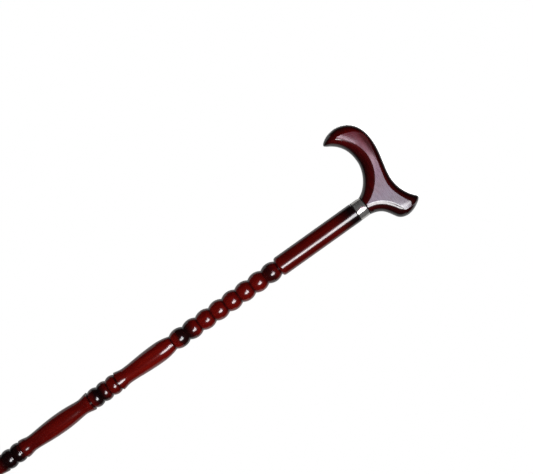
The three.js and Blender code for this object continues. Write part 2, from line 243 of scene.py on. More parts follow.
@dataclass(frozen=True)
class Finish:
    """A material that is named for what it is made of and how."""

    name: str

    def material(self) -> Material:
        """Builds the material.

        Returns:
            The material.
        """
        made = bpy.data.materials.new(self.name)
        tree = emptied(made)
        add(tree, "OutputMaterial", inputs={"Surface": self.surface(tree)})
        return made

    def surface(self, tree: NodeTree) -> NodeSocket:
        """Builds the shader. Every finish has its own."""
        raise NotImplementedError


@dataclass(frozen=True)
class Shading:
    """A band of black airbrushed shading round the shaft."""

    top: float
    bottom: float
    fade_above: float
    fade_below: float
    depth: float


@dataclass(frozen=True)
class LacqueredHardwood(Finish):
    """Close-grained hardwood, stained red-brown and sprayed with gloss lacquer.

    The eye sees fine long streaks deep under a clear wet-looking coat, black airbrushed bands and dark
    rounded edges, with painted shade in the grooves and on faces that look up. A streak, fibre, pore and line
    have a width and a length.
    """

    dark: str
    mid: str
    light: str
    grain: Grain
    streak: Pair = (3.4, 90.0)
    fibre: Pair = (0.9, 22.0)
    pore: Pair = (0.5, 7.0)
    pore_stain: float = 0.35
    swirl: float = 0.35
    peel: float = 2.6
    peel_strength: float = 0.05
    fibre_strength: float = 0.12
    fibre_share: float = 0.4
    relief: float = 0.1
    line: Pair = (0.8, 7.0)
    coat_over_pores: float = 0.75
    coat_roughness: float = 0.12
    edge_shade: float = 0.0
    edge_fade: float = 0.3
    # Painted shade on faces that look up
    painted_top_shade: float = 0.7
    half_thickness: float = 11.1
    shaded_length: float = 900.0
    tones: tuple[Pair, ...] = ()
    shadings: tuple[Shading, ...] = ()

    def surface(self, tree: NodeTree) -> NodeSocket:
        """Clear lacquer over the stained wood, each with its own fine relief.

        Args:
            tree: the node tree.

        Returns:
            The shader.
        """
        colour = self.stain(tree)
        steps = (self.tones, self.toned), (self.shadings, self.shaded), (self.edge_shade, self.edged)
        for wanted, step in steps:
            colour = step(tree, colour) if wanted else colour
        fibre = self.streaks(tree, self.fibre, 2.0)
        skin = between(tree, self.fibre_share, noise(tree, (self.peel,) * 3, 1.0), fibre)
        coat = bumped(tree, skin, self.peel_strength, self.relief)
        lines = self.streaks(tree, self.line, 2.0)
        return add(tree, "BsdfPrincipled", inputs={
            "Base Color": colour, "Roughness": 0.3, "Specular IOR Level": 0.08,
            "Normal": bumped(tree, fibre, self.fibre_strength, self.relief, coat),
            "Coat Weight": mapped(tree, lines, 0.35, 0.6, self.coat_over_pores),
            "Coat Roughness": self.coat_roughness, "Coat IOR": 1.62, "Coat Normal": coat}).outputs[0]

    def streaks(self, tree: NodeTree, size: Pair, detail: float) -> NodeSocket:
        """Noise drawn out along the grain, in streaks of this width and length."""
        return noise(tree, (size[0], *size), detail, self.grain.value, self.swirl)

    def stain(self, tree: NodeTree) -> NodeSocket:
        """Stained wood: broad streaks, fine fibres and short dark pores.

        Args:
            tree: the node tree.

        Returns:
            The colour.
        """
        broad = self.streaks(tree, self.streak, 3.0)
        fine = self.streaks(tree, self.fibre, 3.0)
        wood = ramp_over(
            tree, between(tree, 0.5, broad, fine), (0.33, self.dark), (0.5, self.mid), (0.67, self.light))
        pores = self.streaks(tree, self.pore, 1.0)
        held = mapped(tree, pores, 0.66, 0.78, 0.0, self.pore_stain, smooth=True)
        return blend(tree, held, wood, linear(self.dark))

    def edged(self, tree: NodeTree, colour: NodeSocket) -> NodeSocket:
        """Black along the rounded edges, darkest furthest from the flat sides, and painted shade on faces
        that look up.

        Args:
            tree: the node tree.
            colour: the stained wood.

        Returns:
            The colour with its dark edges and painted top shade.
        """
        side = reckon(tree, "DIVIDE", reckon(tree, "ABSOLUTE", axes(tree)["Y"]), self.half_thickness * MM)
        rounds = ramp_over(
            tree, side, (0.5, self.edge_shade), (0.83, self.edge_fade * self.edge_shade), (0.98, 0.0))
        # Painted shade: faces whose normal points up are darkened.
        upward = axes(tree, add(tree, "TexCoord").outputs["Normal"])["Z"]
        above = mapped(tree, upward, 0.1, 0.6, 0.0, self.painted_top_shade, smooth=True)
        return blend(tree, reckon(tree, "MAXIMUM", rounds, above), colour, linear(BLACK_STAIN_AND_SHADE))

    def along(self, tree: NodeTree, start: float, end: float) -> NodeSocket:
        """Place up the shaft or towards the handle's heel, as a share of the way from start to end."""
        axis = "Z" if self.grain is Grain.UP_THE_SHAFT else "X"
        return mapped(tree, axes(tree)[axis], start * MM, end * MM)

    def toned(self, tree: NodeTree, colour: NodeSocket) -> NodeSocket:
        """Tone that changes along the piece: the stain's own up the shaft, and darker towards the heel on the
        handle.

        Args:
            tree: the node tree.
            colour: the stained wood.

        Returns:
            The colour with its tones.
        """
        start, end = self.tones[0][0], self.tones[-1][0]
        stops = [((place - start) / (end - start), tone) for place, tone in self.tones]
        return blend(tree, 1.0, colour, ramp_over(tree, self.along(tree, start, end), *stops), "MULTIPLY")

    def shaded(self, tree: NodeTree, colour: NodeSocket) -> NodeSocket:
        """Black airbrushed bands, and painted shade that darkens each groove.

        Args:
            tree: the node tree.
            colour: the stained wood.

        Returns:
            The colour with its shading.
        """
        full = self.shaded_length
        stops = [(0.0, 0.0)]
        for band in sorted(self.shadings, key=lambda b: b.bottom):
            stops += [((band.bottom - band.fade_below) / full, 0.0), (band.bottom / full, band.depth)]
            stops += [(band.top / full, band.depth), ((band.top + band.fade_above) / full, 0.0)]
        bands = ramp_over(tree, self.along(tree, 0.0, full), *stops)
        # Painted shade: the wood is darkened near each groove, most at its bottom.
        groove_darkening = add(tree, "Attribute", {"attribute_name": Shaft.GROOVE_SHADE}).outputs["Fac"]
        return blend(tree, reckon(tree, "MAXIMUM", bands, groove_darkening), colour, linear(BLACK_STAIN_AND_SHADE))


@dataclass(frozen=True)
class PlatedBrass(Finish):
    """Brass tube, polished and nickel plated.

    It mirrors the studio in crisp stripes, fine polishing lines run round it, and a thin ring of painted
    shadow darkens both rims, where the collar meets the wood.
    """

    name: str = "nickel_plated_polished_brass"
    colour: str = "D3D2CD"
    clouded: str = "BDBCB6"
    cloud: float = 4.0
    line_length: float = 14.0
    line_height: float = 0.35
    middle: float = 855.8
    half_height: float = 6.7
    joint_shadow_width: float = 1.15
    joint_shadow_blur: float = 0.1

    def surface(self, tree: NodeTree) -> NodeSocket:
        """Plating with lines and faint clouds, and painted shadow at both rims.

        Args:
            tree: the node tree.

        Returns:
            The shader.
        """
        lines = noise(tree, (self.line_length, self.line_length, self.line_height), 2.0)
        cloud = noise(tree, (self.cloud,) * 3, 3.0)
        plate = add(tree, "BsdfPrincipled", inputs={
            "Base Color": ramp_over(tree, cloud, (0.3, self.clouded), (0.7, self.colour)), "Metallic": 0.8,
            "Roughness": mapped(tree, lines, 0.3, 0.7, 0.1, 0.2), "Normal": bumped(tree, lines, 0.08, 0.05)})
        # Painted shadow: near-black rings at both rims, where the collar meets the handle and the shaft.
        joint_shadow = add(tree, "BsdfPrincipled", inputs={
            "Base Color": linear("0B0908"), "Roughness": 0.6, "Specular IOR Level": 0.2})
        off = reckon(tree, "ABSOLUTE", reckon(tree, "SUBTRACT", axes(tree)["Z"], self.middle * MM))
        rim = self.half_height - self.joint_shadow_width
        seam = mapped(tree, off, (rim - self.joint_shadow_blur) * MM, (rim + self.joint_shadow_blur) * MM)
        return add(tree, "MixShader", inputs={0: seam, 1: plate.outputs[0], 2: joint_shadow.outputs[0]}).outputs[0]


@dataclass(frozen=True)
class ZincSteel(Finish):
    """Turned mild steel with bright zinc plating.

    A dull grey metal with a faint mottle, and tool marks or thread lines that catch the light.
    """

    ridge: float
    depth: float
    mottle: float = 1.6

    # The wave texture passes half a wave every pi / 20 units.
    HALF_WAVES = 20.0 / math.pi

    def surface(self, tree: NodeTree) -> NodeSocket:
        """Mottled zinc with ridges round it.

        Args:
            tree: the node tree.

        Returns:
            The shader.
        """
        mottle = noise(tree, (self.mottle,) * 3, 4.0)
        ridges = add(tree, "TexWave", {"bands_direction": "Z"}, {
            "Vector": millimetres(tree, (self.ridge * self.HALF_WAVES,) * 3), "Scale": 1.0}).outputs["Fac"]
        return add(tree, "BsdfPrincipled", inputs={
            "Base Color": ramp_over(tree, mottle, (0.3, "8F9398"), (0.7, "B4B7BA")), "Metallic": 1.0,
            "Roughness": mapped(tree, mottle, 0.3, 0.7, 0.32, 0.5),
            "Normal": bumped(tree, ridges, 0.8, self.depth)}).outputs[0]


@dataclass(frozen=True)
class MouldedRubber(Finish):
    """Black natural rubber, compression moulded.

    Matt and slightly greyed by bloom, with the fine spark texture of its mould.
    """

    name: str = "compression_moulded_black_rubber"
    grit: float = 0.7
    bloom: float = 9.0

    def surface(self, tree: NodeTree) -> NodeSocket:
        """Rubber with clouds of bloom and a gritty skin.

        Args:
            tree: the node tree.

        Returns:
            The shader.
        """
        bloom = noise(tree, (self.bloom,) * 3, 4.0)
        return add(tree, "BsdfPrincipled", inputs={
            "Base Color": ramp_over(tree, bloom, (0.35, "161617"), (0.7, "2A2A2B")),
            "Roughness": mapped(tree, bloom, 0.3, 0.7, 0.62, 0.8),
            "Normal": bumped(tree, noise(tree, (self.grit,) * 3, 3.0), 0.35, 0.1),
            "IOR": 1.52, "Specular IOR Level": 0.4}).outputs[0]


@dataclass(frozen=True)
class PaintedBoard(Finish):
    """Board, rolled with matt white paint.

    The camera sees the cane's soft shadow near its foot and pure white beyond. The lacquer and the
    plating mirror it as white behind the cane and as dark in front. Its fade and what
    counts as behind are metres.
    """

    name: str = "matt_white_painted_board"
    fade: Pair = (0.35, 0.85)
    least: float = 0.5
    behind: Pair = (0.05, 0.5)
    mirrored: Pair = (0.01, 0.6)
    tooth: float = 3.0

    def surface(self, tree: NodeTree) -> NodeSocket:
        """Painted board that turns white with distance and in what is mirrored.

        Args:
            tree: the node tree.

        Returns:
            The shader.
        """
        place = add(tree, "TexCoord").outputs["Object"]
        away = add(tree, "VectorMath", {"operation": "LENGTH"}, {0: place}).outputs["Value"]
        beyond = mapped(tree, away, *self.fade, self.least, smooth=True)
        board = add(tree, "BsdfPrincipled", inputs={
            "Base Color": linear("F2F2F0"), "Roughness": 0.7,
            "Normal": bumped(tree, noise(tree, (self.tooth,) * 3, 3.0), 0.1, 0.1)})
        camera, mirrored = seen_by(tree)
        behind = mapped(tree, axes(tree, place)["Y"], *self.behind, smooth=True)
        level = between(tree, camera, mapped(tree, behind, 0.0, 1.0, *self.mirrored), 1.0)
        white = add(tree, "Emission", inputs={"Color": WHITE, "Strength": level})
        seen = reckon(tree, "ADD", camera, mirrored, clamp=True)
        shown = reckon(tree, "MULTIPLY", reckon(tree, "MAXIMUM", beyond, mirrored), seen)
        return add(tree, "MixShader", inputs={0: shown, 1: board.outputs[0], 2: white.outputs[0]}).outputs[0]


# Shapes


def walk(bm: BMesh, points: Sequence[Vector]) -> list[BMVert]:
    """Walks a chain of edges through points by extruding its last vertex.

    Args:
        bm: mesh that gets the chain.
        points: places of the vertices in metres.

    Returns:
        The chain's vertices in order.
    """
    ring = [bm.verts.new(points[0])]
    for point in points[1:]:
        made = bmesh.ops.extrude_vert_indiv(bm, verts=[ring[-1]])
        ring += made["verts"]
        ring[-1].co = point
    return ring


def step_out(bm: BMesh, ring: Sequence[BMVert]) -> list[BMVert]:
    """Extrudes a chain of edges into a strip of faces.

    Args:
        bm: mesh that holds the chain.
        ring: the chain's vertices in order.

    Returns:
        The new edge's vertices, in the chain's order and still in its place.
    """
    edges = [bm.edges.get(pair) for pair in zip(ring, ring[1:])]
    made = bmesh.ops.extrude_edge_only(bm, edges=edges)["geom"]
    fresh = {item for item in made if isinstance(item, BMVert)}
    return [next(e.other_vert(v) for e in v.link_edges if e.other_vert(v) in fresh) for v in ring]


def ease(bm: BMesh, edges: Sequence[BMEdge], width: float, steps: int) -> None:
    """Rounds edges over with a bevel of this width on each side."""
    bmesh.ops.bevel(
        bm, geom=edges, offset=width * MM, segments=steps, profile=0.5, affect="EDGES", material=-1)


def circles(edge: BMEdge, radius: float) -> bool:
    """Tells whether an edge of a turned shape runs round it.

    Args:
        edge: the edge.
        radius: the least radius that counts.

    Returns:
        Whether it does.
    """
    a, b = edge.verts
    level = abs(a.co.z - b.co.z) < MERGE
    return level and math.hypot(a.co.x, a.co.y) > (radius - SLACK) * MM


def put(name: str, data: ID) -> Object:
    """Puts a new object into the scene, at the origin.

    Args:
        name: the object's name.
        data: its mesh, lamp or camera.

    Returns:
        The object.
    """
    made = bpy.data.objects.new(name, data)
    bpy.context.scene.collection.objects.link(made)
    return made


def to_piece(
    bm: BMesh, name: str, finish: Finish, node: str, body: str, crease: float
) -> Object:
    """Makes a finished object of a mesh, and sets it in the place of its CAD node.

    Args:
        bm: the mesh, which is freed.
        name: the object's name.
        finish: its finish.
        node: CAD node that it stands for.
        body: CAD body that it moves with.
        crease: angle in degrees over which an edge stays sharp.

    Returns:
        The object.
    """
    bmesh.ops.remove_doubles(bm, verts=bm.verts, dist=MERGE)
    bmesh.ops.recalc_face_normals(bm, faces=bm.faces)
    mesh = bpy.data.meshes.new(name)
    bm.to_mesh(mesh)
    bm.free()
    mesh.shade_smooth()
    mesh.set_sharp_from_angle(angle=math.radians(crease))
    mesh.materials.append(finish.material())
    made = put(name, mesh)
    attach(made, body)
    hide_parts(node)
    log.info("%s: %d faces, in the place of %s", name, len(mesh.polygons), node)
    return made


def dress(node: str, finish: Finish) -> None:
    """Gives a CAD node that keeps its own shape a better finish.

    Args:
        node: name of the CAD node.
        finish: its finish.
    """
    kept = frame["nodes"][node]
    kept.data.materials.clear()
    kept.data.materials.append(finish.material())
    log.info("%s: CAD shape kept, dressed in %s", node, finish.name)


class Outline:
    """A turned outline of radius and height that is walked in one go and spun about Z."""

    def __init__(self, radius: float, height: float) -> None:
        """Starts at a radius and a height."""
        self.points = [(radius, height)]

    def line(self, radius: float, height: float) -> "Outline":
        """Goes straight to a radius and a height."""
        self.points.append((radius, height))
        return self

    def curve(self, first: Pair, second: Pair, end: Pair, steps: int) -> "Outline":
        """Follows a cubic curve.

        Args:
            first: control point beside the start.
            second: control point beside the end.
            end: where it ends.
            steps: number of segments.

        Returns:
            The outline.
        """
        knots = [Vector((*p, 0.0)) for p in (self.points[-1], first, second, end)]
        self.points += [(p.x, p.y) for p in interpolate_bezier(*knots, steps + 1)[1:]]
        return self

    def ogee(self, radius: float, height: float, pull_start: float, pull_end: float, steps: int) -> "Outline":
        """Draws an S whose ends run along the axis.

        Args:
            radius: radius at its end.
            height: height of its end.
            pull_start: length of the start's pull, as a share of the drop.
            pull_end: length of the end's pull, as a share of the drop.
            steps: number of segments.

        Returns:
            The outline.
        """
        start, top = self.points[-1]
        drop = top - height
        first, second = (start, top - pull_start * drop), (radius, height + pull_end * drop)
        return self.curve(first, second, (radius, height), steps)

    def arc(
        self, crown: float, height: float, radius: float, above: float, below: float, steps: int
    ) -> "Outline":
        """Follows an arc whose crown stands out furthest.

        Args:
            crown: radius of the turning at the crown.
            height: height of the crown.
            radius: radius of the arc.
            above: how far above the crown the arc starts.
            below: how far below the crown it ends.
            steps: number of segments.

        Returns:
            The outline.
        """
        start, end = math.asin(above / radius), -math.asin(below / radius)
        for i in range(steps + 1):
            angle = start + (end - start) * i / steps
            self.line(crown - radius * (1.0 - math.cos(angle)), height + radius * math.sin(angle))
        return self

    def spun(self, steps: int = 96) -> BMesh:
        """Walks the outline and spins it.

        Args:
            steps: facets round the turning.

        Returns:
            The closed turned shape.
        """
        bm = bmesh.new()
        walk(bm, [Vector((radius * MM, 0.0, height * MM)) for radius, height in self.points])
        bmesh.ops.spin(
            bm, geom=bm.verts[:] + bm.edges[:], cent=(0.0, 0.0, 0.0), axis=(0.0, 0.0, 1.0),
            angle=math.tau, steps=steps, use_merge=True)
        bmesh.ops.remove_doubles(bm, verts=bm.verts, dist=MERGE)
        return bm


# Pieces


@dataclass
class Handle:
    """Derby handle: flat sides that roll over into a rounded edge, and a neck turned round."""

    foot: float = 862.5
    length: float = 121.3
    rise: float = 52.33
    neck_radius: float = 11.1
    thickness: float = 22.2
    round_steps: int = 16
    roundness: float = 2.0
    end_roundness: float = 1.5
    nose_start: float = -20.0
    nose_end: float = -45.0
    heel_start: float = 26.0
    heel_end: float = 31.0
    foot_edge: float = 0.3
    flat_lip: float = 0.05
    bore_radius: float = 4.15
    bore_depth: float = 26.3
    bore_sides: int = 48

    # Silhouette and border of the flat side, stretch by stretch from the left of the neck over the
    # nose and the heel to its right. A stretch holds its steps, then two control points and an end of
    # the silhouette, then those of the border. Points are thousandths of the handle's length and rise.
    STRETCHES = (
        (36, ((-133.6, 219.5), (-258.9, 391.2), (-361.1, 389.3)),
         ((-36.3, 324.4), (-176.4, 614.5), (-361.1, 614.5))),
        (24, ((-469.1, 395.0), (-560.6, 307.3), (-621.6, 59.2)),
         ((-445.2, 610.7), (-548.2, 505.7), (-626.5, 301.5))),
        (10, ((-636.4, 11.5), (-643.0, -15.3), (-665.3, 40.1)),
         ((-631.5, 286.3), (-639.7, 309.2), (-637.3, 335.9))),
        (16, ((-699.1, 139.3), (-713.1, 253.8), (-713.1, 385.5)),
         ((-634.0, 374.0), (-628.2, 458.0), (-615.0, 534.4))),
        (30, ((-704.0, 730.9), (-587.8, 908.4), (-446.8, 900.8)),
         ((-595.2, 664.1), (-552.3, 818.7), (-469.9, 807.3))),
        (30, ((-310.0, 916.0), (-196.2, 776.7), (-63.5, 759.5)),
         ((-354.5, 782.4), (-177.2, 646.9), (-74.2, 605.0))),
        (24, ((29.7, 761.5), (112.9, 832.1), (181.4, 982.8)), ((4.1, 576.3), (110.5, 660.3), (192.9, 780.5))),
        (10, ((202.8, 1017.2), (211.0, 1001.9), (227.5, 967.6)),
         ((202.8, 792.0), (225.9, 767.2), (237.4, 717.6))),
        (18, ((259.7, 872.1), (286.1, 746.2), (286.9, 622.1)),
         ((231.7, 687.0), (235.8, 664.1), (231.7, 633.6))),
        (12, ((286.1, 534.4), (270.4, 437.0), (234.1, 389.3)),
         ((225.9, 584.0), (211.9, 587.8), (191.3, 572.5))),
        (30, ((162.4, 290.1), (111.3, 246.2)), ((84.1, 477.1), (10.7, 276.7))),
    )

    def chain(self, which: int, half_width: float) -> list[Vector]:
        """Points round the silhouette or the border.

        Args:
            which: 1 for the silhouette, 2 for the border.
            half_width: half its width at the foot.

        Returns:
            The points at Y = 0, in metres.
        """
        points = [Vector((-half_width, 0.0, 0.0))]
        for stretch in self.STRETCHES:
            steps, table = stretch[0], stretch[which]
            knots = [points[-1]]
            knots += [Vector((x / 1000.0 * self.length, 0.0, h / 1000.0 * self.rise)) for x, h in table]
            if len(knots) < 4:
                knots.append(Vector((half_width, 0.0, 0.0)))
            points += interpolate_bezier(*knots, steps + 1)[1:]
        return [(p + Vector((0.0, 0.0, self.foot))) * MM for p in points]

    def power(self, place: float) -> float:
        """Power of the edge's section: 2 is an ellipse, and less leaves the flat side more sharply.

        Args:
            place: distance from the shaft's axis, negative towards the nose.

        Returns:
            The power.
        """
        nose = (place - self.nose_start) / (self.nose_end - self.nose_start)
        heel = (place - self.heel_start) / (self.heel_end - self.heel_start)
        return self.roundness + (self.end_roundness - self.roundness) * min(1.0, max(0.0, nose, heel))

    def skin(self) -> BMesh:
        """Steps the silhouette over a quarter round to the border, fills the flat side and mirrors it.

        Returns:
            The handle's skin, open at its foot.
        """
        rim, border = self.chain(1, self.neck_radius), self.chain(2, 0.0)
        half = self.thickness / 2.0 * MM
        bm = bmesh.new()
        ring = walk(bm, rim)
        for step in range(1, self.round_steps + 1):
            inward = max(0.0, math.cos(math.pi / 2.0 * step / self.round_steps))
            ring = step_out(bm, ring)
            for vertex, out, inner in zip(ring, rim, border):
                vertex.co = out.lerp(inner, 1.0 - inward)
                vertex.co.y = -half * math.sqrt(1.0 - inward ** self.power(out.x / MM))
        bmesh.ops.pointmerge(bm, verts=[ring[0], ring[-1]], merge_co=ring[0].co)
        loop = [v for v in ring if v.is_valid]
        edges = [bm.edges.get(pair) for pair in zip(loop, loop[1:] + loop[:1])]
        side = bmesh.ops.edgeloop_fill(bm, edges=[e for e in edges if e])["faces"]
        bmesh.ops.inset_region(bm, faces=side, thickness=self.flat_lip * MM, use_even_offset=True)
        bmesh.ops.mirror(bm, geom=bm.verts[:] + bm.edges[:] + bm.faces[:], merge_dist=MERGE, axis="Y")
        return bm

    def build(self, finish: Finish) -> None:
        """Builds the handle with its eased foot and the bore for the stud.

        Args:
            finish: its wood.
        """
        bm = self.skin()
        foot_edges = [e for e in bm.edges if e.is_boundary]
        mouth = bmesh.ops.create_circle(
            bm, cap_ends=False, radius=self.bore_radius * MM, segments=self.bore_sides,
            matrix=Matrix.Translation((0.0, 0.0, self.foot * MM)))["verts"]
        mouth_edges = list({e for v in mouth for e in v.link_edges})
        bmesh.ops.bridge_loops(bm, edges=foot_edges + mouth_edges)
        made = bmesh.ops.extrude_edge_only(bm, edges=mouth_edges)["geom"]
        end = [item for item in made if isinstance(item, BMVert)]
        bmesh.ops.translate(bm, verts=end, vec=(0.0, 0.0, self.bore_depth * MM))
        bmesh.ops.edgeloop_fill(bm, edges=[item for item in made if isinstance(item, BMEdge)])
        # The bevel needs faces that all point one way.
        bmesh.ops.recalc_face_normals(bm, faces=bm.faces)
        ease(bm, foot_edges, self.foot_edge, 3)
        to_piece(bm, "derby_handle", finish, "handle", "cane", crease=40.0)


@dataclass(frozen=True)
class Band:
    """A crowned band with a groove under it. Its profile is the radius of the band's arc."""

    crown: float
    profile: float
    groove: float
    pitch: float
    steps: int


@dataclass
class Shaft:
    """One-piece turned shaft: tenon, straight top, ball beads, pear, rings, vase, rings and leg."""

    handle_foot: float = 862.5
    collar_height: float = 13.4
    tenon_radius: float = 9.7
    bore_radius: float = 4.15
    bore_depth: float = 30.3
    radius: float = 11.1
    straight_length: float = 101.9
    top_chamfer: float = 0.4
    rounding_height: float = 3.2
    rounding_depth: float = 2.3
    rounding_pull: float = 0.45
    beads: int = 8
    bead: Band = Band(crown=10.95, profile=15.0, groove=8.25, pitch=17.28, steps=18)
    pear_length: float = 72.4
    pear_crown: float = 11.15
    pear_crown_drop: float = 19.4
    pear_profile: float = 60.0
    pear_neck: float = 9.15
    pear_neck_rise: float = 11.6
    pear_lip: float = 10.9
    upper_rings: int = 3
    upper_ring: Band = Band(crown=11.0, profile=9.4, groove=8.95, pitch=11.7, steps=12)
    vase_length: float = 90.4
    vase_top_lip: float = 10.7
    vase_top_neck: float = 8.9
    vase_top_neck_drop: float = 12.6
    vase_belly: float = 10.8
    vase_belly_drop: float = 41.2
    vase_neck: float = 8.75
    vase_neck_rise: float = 12.7
    vase_lip: float = 10.45
    lower_rings: int = 2
    lower_ring: Band = Band(crown=10.8, profile=9.4, groove=8.95, pitch=11.7, steps=12)
    leg_lip: float = 10.25
    leg_neck: float = 8.8
    leg_neck_drop: float = 13.0
    leg_belly: float = 10.1
    leg_belly_drop: float = 62.0
    leg_parallel_top: float = 47.0
    tip: float = 10.9
    tip_radius: float = 8.0
    tip_chamfer: float = 1.0
    groove_width: float = 1.3
    lip_depth: float = 1.1
    # Painted shade near each groove: its depth, its reach in millimetres and its falloff.
    groove_shade_depth: float = 0.85
    groove_shade_width: float = 2.4
    groove_shade_power: float = 1.5

    GROOVE_SHADE = "painted_groove_shade"

    def bands(self, line: Outline, count: int, band: Band) -> None:
        """Draws bands one under the other.

        Args:
            line: outline that they are drawn on.
            count: number of bands.
            band: what each is like.
        """
        reach = (band.pitch - self.groove_width) / 2.0
        for _ in range(count):
            top = line.points[-1][1]
            line.arc(band.crown, top - band.pitch / 2.0, band.profile, reach, reach, band.steps)
            line.line(band.groove, top - band.pitch)

    def outline(self) -> Outline:
        """Draws the shaft from the bore in its tenon down to its tip.

        Returns:
            The shaft's outline.
        """
        top = self.handle_foot
        bore, shoulder = top - self.bore_depth, top - self.collar_height
        first = shoulder - self.straight_length
        edge = first + self.groove_width / 2.0
        pull_up, pull_in = self.rounding_pull * self.rounding_height, self.rounding_pull * self.rounding_depth
        line = Outline(0.0, bore).line(self.bore_radius, bore).line(self.bore_radius, top)
        line.line(self.tenon_radius, top).line(self.tenon_radius, shoulder)
        line.line(self.radius - self.top_chamfer, shoulder).line(self.radius, shoulder - self.top_chamfer)
        line.line(self.radius, edge + self.rounding_height)
        line.curve((self.radius, edge + pull_up), (self.radius - pull_in, edge),
                   (self.radius - self.rounding_depth, edge), 8).line(self.bead.groove, first)
        self.bands(line, self.beads, self.bead)
        self.pear(line)
        self.bands(line, self.upper_rings, self.upper_ring)
        self.vase(line)
        self.bands(line, self.lower_rings, self.lower_ring)
        self.leg(line)
        return line

    def grooves(self) -> list[float]:
        """Reckons the heights of the grooves.

        Returns:
            The heights from the top down.
        """
        heights = [self.handle_foot - self.collar_height]
        for length, count, band in (
            (self.straight_length, self.beads, self.bead),
            (self.pear_length, self.upper_rings, self.upper_ring),
            (self.vase_length, self.lower_rings, self.lower_ring),
        ):
            start = heights[-1] - length
            heights += [start - i * band.pitch for i in range(count + 1)]
        return heights[1:]

    def pear(self, line: Outline) -> None:
        """Draws the pear spindle: a full shoulder, a long fall to its neck and a flared lip.

        Args:
            line: the shaft's outline so far.
        """
        top = line.points[-1][1]
        foot = top - self.pear_length
        lip, neck = foot + self.lip_depth, foot + self.pear_neck_rise
        drop, flare = neck - lip, self.pear_lip - self.pear_neck
        line.arc(self.pear_crown, top - self.pear_crown_drop, self.pear_profile,
                 self.pear_crown_drop - self.groove_width / 2.0, 0.0, 14)
        line.ogee(self.pear_neck, neck, 0.48, 0.26, 24)
        line.curve((self.pear_neck, neck - 0.4 * drop), (self.pear_lip - 0.3 * flare, lip + 0.3 * drop),
                   (self.pear_lip, lip), 12)
        line.line(self.upper_ring.groove, foot)

    def vase(self, line: Outline) -> None:
        """Draws the vase spindle, with a lip and a neck at both ends of its belly.

        Args:
            line: the shaft's outline so far.
        """
        top = line.points[-1][1]
        foot = top - self.vase_length
        line.line(self.vase_top_lip, top - self.lip_depth)
        line.ogee(self.vase_top_neck, top - self.vase_top_neck_drop, 0.3, 0.42, 14)
        line.ogee(self.vase_belly, top - self.vase_belly_drop, 0.18, 0.56, 20)
        line.ogee(self.vase_neck, foot + self.vase_neck_rise, 0.47, 0.2, 22)
        line.ogee(self.vase_lip, foot + self.lip_depth, 0.4, 0.42, 12).line(self.lower_ring.groove, foot)

    def leg(self, line: Outline) -> None:
        """Draws the long leg: a lip, a neck, a slim belly and a taper to the parallel end.

        Args:
            line: the shaft's outline so far.
        """
        top = line.points[-1][1]
        line.line(self.leg_lip, top - self.lip_depth)
        line.ogee(self.leg_neck, top - self.leg_neck_drop, 0.3, 0.42, 14)
        line.ogee(self.leg_belly, top - self.leg_belly_drop, 0.18, 0.56, 20)
        line.ogee(self.tip_radius, self.leg_parallel_top, 0.4, 0.1, 40)
        line.line(self.tip_radius, self.tip + self.tip_chamfer)
        line.line(self.tip_radius - self.tip_chamfer, self.tip).line(0.0, self.tip)

    def build(self, finish: Finish) -> None:
        """Builds the shaft and marks how much painted shade darkens it near each groove.

        Args:
            finish: its wood.
        """
        bm = self.outline().spun()
        made = to_piece(bm, "turned_shaft", finish, "shaft", "cane", crease=38.0)
        # Painted shade near each groove, strongest at the groove's bottom.
        mark = made.data.attributes.new(self.GROOVE_SHADE, "FLOAT", "POINT")
        grooves, groove_shades = self.grooves(), []
        for vertex in made.data.vertices:
            near = min(abs(vertex.co.z / MM - height) for height in grooves)
            groove_shades.append(self.groove_shade_depth * max(0.0, 1.0 - near / self.groove_shade_width) ** self.groove_shade_power)
        mark.data.foreach_set("value", groove_shades)


@dataclass
class Collar:
    """Plated tube between the shaft and the handle, with its ends rolled."""

    foot: float = 849.1
    height: float = 13.4
    radius: float = 10.85
    wall: float = 1.0
    edge: float = 0.35

    def build(self, finish: Finish) -> None:
        """Builds the collar.

        Args:
            finish: its plating.
        """
        top, inner = self.foot + self.height, self.radius - self.wall
        line = Outline(inner, self.foot).line(self.radius, self.foot).line(self.radius, top).line(inner, top)
        bm = line.line(inner, self.foot).spun(128)
        ease(bm, [e for e in bm.edges if circles(e, self.radius)], self.edge, 4)
        to_piece(bm, "plated_collar", finish, "collar", "cane", crease=50.0)


@dataclass
class Stud:
    """Threaded stud between the handle and the shaft. It keeps its CAD shape."""

    thread_ridge: float = 1.25
    thread_depth: float = 0.4

    def build(self) -> None:
        """Dresses the stud."""
        dress("handle_stud", ZincSteel("zinc_plated_threaded_steel", self.thread_ridge, self.thread_depth))


